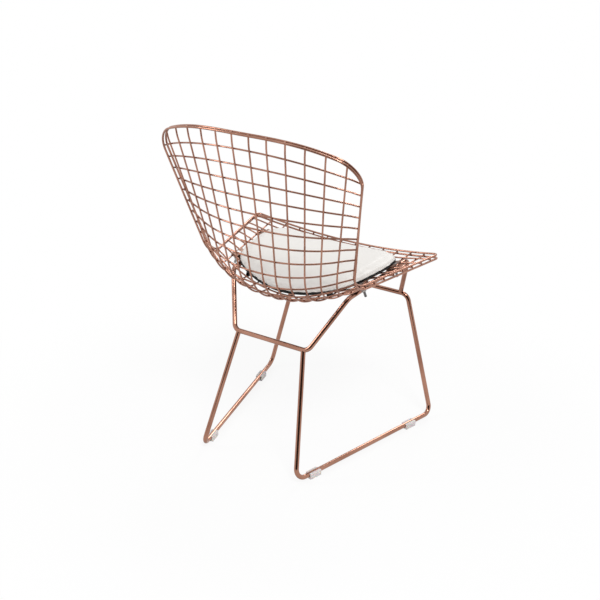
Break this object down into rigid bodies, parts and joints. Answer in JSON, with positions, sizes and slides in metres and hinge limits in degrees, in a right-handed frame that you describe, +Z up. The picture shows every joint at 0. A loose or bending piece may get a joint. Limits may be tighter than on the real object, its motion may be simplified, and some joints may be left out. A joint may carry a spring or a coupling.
{
  "type": "wire mesh chair",
  "caption": "Welded wire shell chair with rounded back and curved seat, clamped to a bent rod sled base, with a thin strapped seat pad.",
  "frame": {"origin": "on the floor, at the centre of the chair's footprint box", "axes": "+Z up, the sitter faces -Y, +X is the sitter's left, mirrored about x = 0"},
  "size_m": [0.5049, 0.4508, 0.7729],
  "materials": {
    "mesh_wire": "copper plated steel wire, satin to polished",
    "rim_rod": "copper plated steel rod, satin to polished",
    "base_rod": "copper plated steel rod, polished",
    "clamp_plate": "black coated steel",
    "fastener": "dark zinc plated steel",
    "glide": "translucent white plastic",
    "pad_board": "matt black backing",
    "pad_cover": "smooth off-white leatherette",
    "pad_strap": "black webbing"
  },
  "bodies": {
    "root": {"cross_wire_01": "mesh_wire", "cross_wire_02": "mesh_wire", "cross_wire_03": "mesh_wire", "cross_wire_04": "mesh_wire", "cross_wire_05": "mesh_wire", "cross_wire_06": "mesh_wire", "cross_wire_07": "mesh_wire", "cross_wire_08": "mesh_wire", "cross_wire_09": "mesh_wire", "cross_wire_10": "mesh_wire", "cross_wire_11": "mesh_wire", "cross_wire_12": "mesh_wire", "cross_wire_13": "mesh_wire", "cross_wire_14": "mesh_wire", "cross_wire_15": "mesh_wire", "cross_wire_16": "mesh_wire", "cross_wire_17": "mesh_wire", "cross_wire_18": "mesh_wire", "cross_wire_19": "mesh_wire", "cross_wire_20": "mesh_wire", "long_wire_left_1": "mesh_wire", "long_wire_right_1": "mesh_wire", "long_wire_left_2": "mesh_wire", "long_wire_right_2": "mesh_wire", "long_wire_left_3": "mesh_wire", "long_wire_right_3": "mesh_wire", "long_wire_left_4": "mesh_wire", "long_wire_right_4": "mesh_wire", "long_wire_left_5": "mesh_wire", "long_wire_right_5": "mesh_wire", "long_wire_left_6": "mesh_wire", "long_wire_right_6": "mesh_wire", "inner_rim_rod": "rim_rod", "outer_rim_rod": "rim_rod", "upper_frame_rod": "base_rod", "sled_rod": "base_rod", "upper_clamp_plates": "clamp_plate", "rail_plates": "clamp_plate", "clamp_bolts": "fastener", "clamp_washers": "fastener", "clamp_nuts": "fastener", "rear_left_glide": "glide", "rear_right_glide": "glide", "front_left_glide": "glide", "front_right_glide": "glide", "pad_board": "pad_board", "pad_cushion": "pad_cover", "pad_straps": "pad_strap"}
  },
  "joints": []
}
